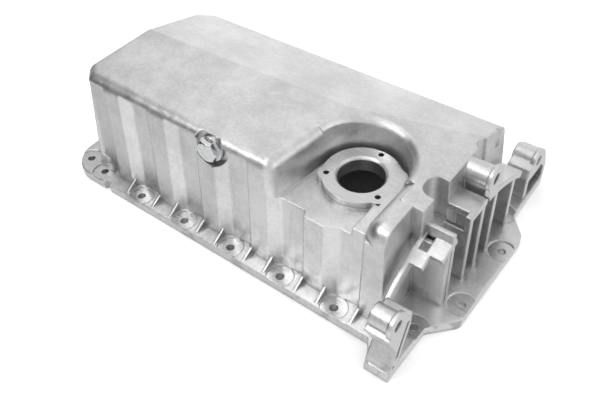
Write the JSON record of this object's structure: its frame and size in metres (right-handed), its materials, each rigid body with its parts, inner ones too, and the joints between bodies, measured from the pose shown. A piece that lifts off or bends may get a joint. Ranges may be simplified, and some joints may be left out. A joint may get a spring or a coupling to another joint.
{
  "type": "engine oil pan",
  "caption": "Cast aluminium engine oil pan with a ribbed gearbox end, an oil level sensor shelf and a threaded drain plug.",
  "frame": {"origin": "centre of the flange bolt rows, on the flange face that meets the engine", "axes": "+X along the crankshaft to the gearbox end, +Y across the engine away from the drain plug, +Z from the engine face to the pan's floor, which is up as the pan stands"},
  "size_m": [0.416, 0.275, 0.119],
  "materials": {
    "cast_aluminium": "bead-blasted casting",
    "plated_steel": "bright zinc plate",
    "washer_aluminium": "turned"
  },
  "bodies": {
    "pan": {"oil_pan": "cast_aluminium"},
    "washer": {"drain_plug_washer": "washer_aluminium"},
    "plug": {"drain_plug": "plated_steel"}
  },
  "joints": [
    {"name": "washer_slide", "type": "slide", "parent": "pan", "child": "washer", "axis": [0, -1, 0], "range_m": [0, 0.015]},
    {"name": "plug_turn", "type": "hinge", "parent": "washer", "child": "plug", "pos_m": [-0.022, -0.08, 0.104], "axis": [0, -1, 0], "range_deg": [0, 3600]}
  ],
  "couplings": [
    {"joint": "plug_turn", "follows": "washer_slide", "rad_per_m": 4188.8}
  ]
}
